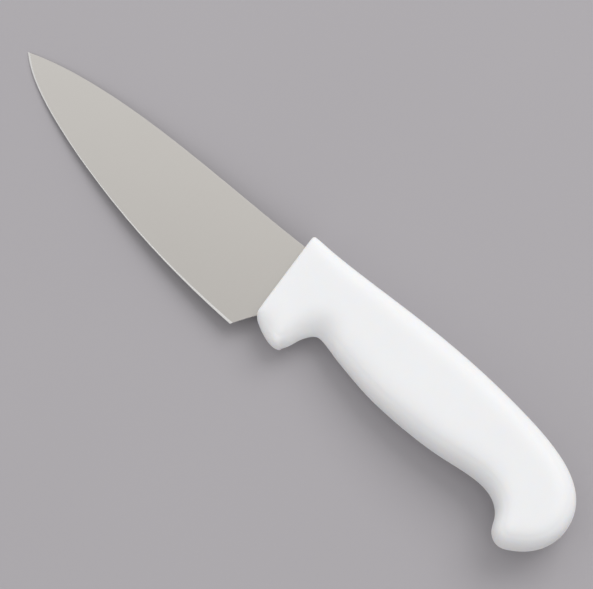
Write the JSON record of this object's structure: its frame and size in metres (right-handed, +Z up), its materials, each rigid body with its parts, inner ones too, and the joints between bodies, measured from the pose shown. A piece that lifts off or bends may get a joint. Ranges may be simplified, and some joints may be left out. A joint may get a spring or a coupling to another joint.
{
  "type": "chef knife",
  "caption": "Small chef knife with a ground steel blade and a smooth white moulded handle that has a finger guard and a hooked butt.",
  "frame": {"origin": "centre of the underside of the knife's box, on the surface that the knife lies on", "axes": "+X from the tip towards the butt, +Y from the cutting edge towards the spine, +Z up. The knife lies on its side, on the blade's tip and the handle's lower cheek, so its middle plane rises 2.87 degrees from the tip to the butt"},
  "size_m": [0.2598, 0.046, 0.0227],
  "materials": {
    "blade_steel": "fine satin grind across the flanks, brighter sharpened bevel",
    "handle_plastic": "smooth white moulded polypropylene with a soft gloss"
  },
  "bodies": {
    "root": {"blade": "blade_steel", "handle": "handle_plastic"}
  },
  "joints": []
}
